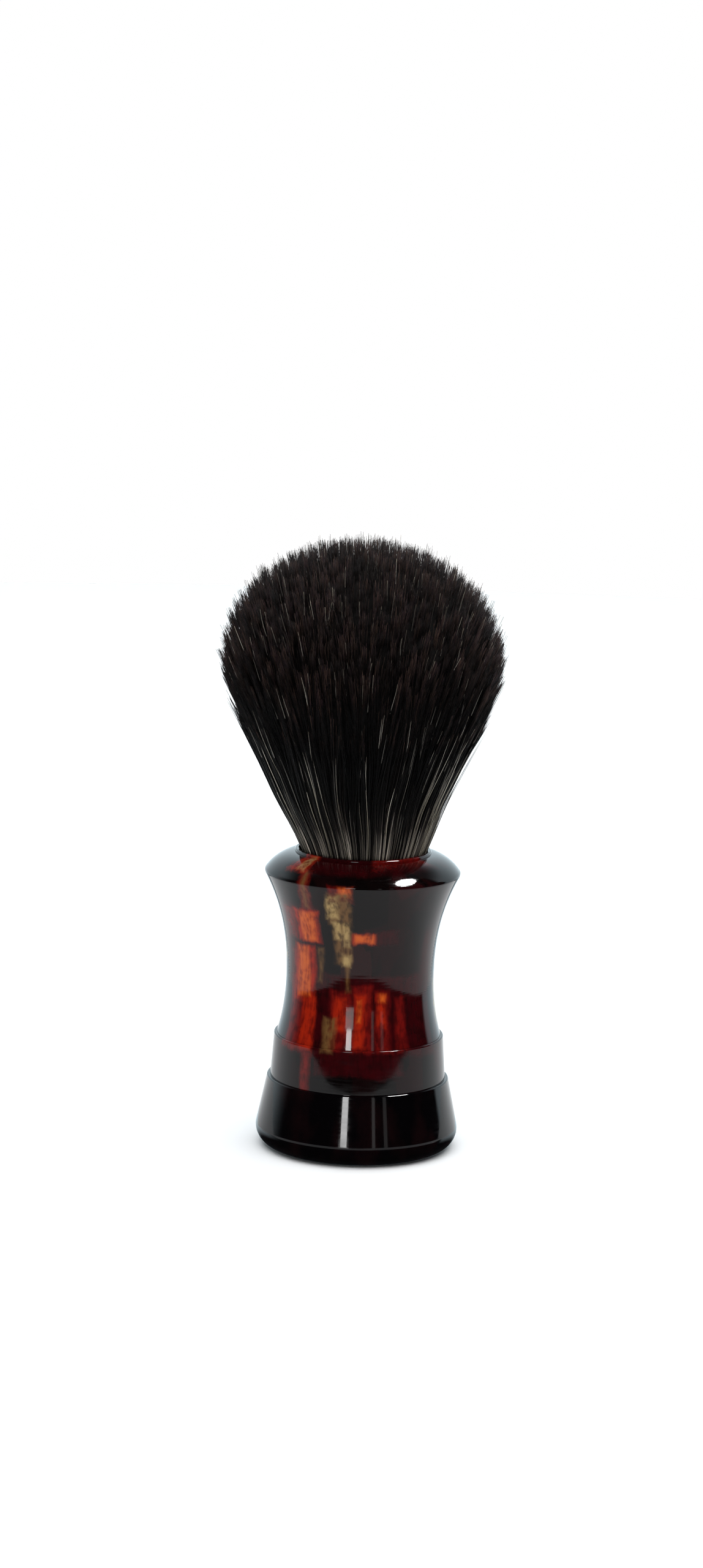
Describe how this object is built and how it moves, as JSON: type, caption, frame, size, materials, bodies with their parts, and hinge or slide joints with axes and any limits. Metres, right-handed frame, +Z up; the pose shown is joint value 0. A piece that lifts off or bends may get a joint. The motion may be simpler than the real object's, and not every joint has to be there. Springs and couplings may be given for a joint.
{
  "type": "shaving brush",
  "caption": "Free-standing shaving brush: a bulb-shaped knot of dark hair set in a turned, waisted resin handle on a flared foot, used to lather and spread soap.",
  "frame": {"origin": "centre of the foot's underside, on the surface the brush stands on", "axes": "+Z up along the brush's own axis, from the foot to the tips of the hair; -Y is the side seen from the front; round, so +X is only the front view's right"},
  "size_m": [0.0464, 0.0464, 0.1],
  "materials": {
    "tortoiseshell_resin": "polished cast resin in faux tortoiseshell",
    "black_resin": "polished cast resin, near black",
    "adhesive": "cured two-part adhesive",
    "base_felt": "pressed felt",
    "ring_aluminium": "as drawn",
    "plug_resin": "hair butts set in resin, sawn flat",
    "waxed_thread": "waxed thread",
    "root_hair": "dark and grey hair, packed",
    "dark_hair": "natural dark hair with brown tips"
  },
  "bodies": {
    "handle": {"handle_body": "tortoiseshell_resin", "foot": "black_resin", "foot_bond": "adhesive", "base_disc": "base_felt", "socket_bed": "adhesive", "knot_ring": "ring_aluminium", "knot_plug": "plug_resin", "binding_thread": "waxed_thread", "hair_root": "root_hair"},
    "hair": {"hair_bulb": "dark_hair"}
  },
  "joints": [
    {"name": "hair_flex", "type": "hinge", "parent": "handle", "child": "hair", "pos_m": [0, 0, 0.056], "axis": [0, 1, 0], "range_deg": [-25, 25], "stiffness_Nm_per_rad": 0.15}
  ]
}
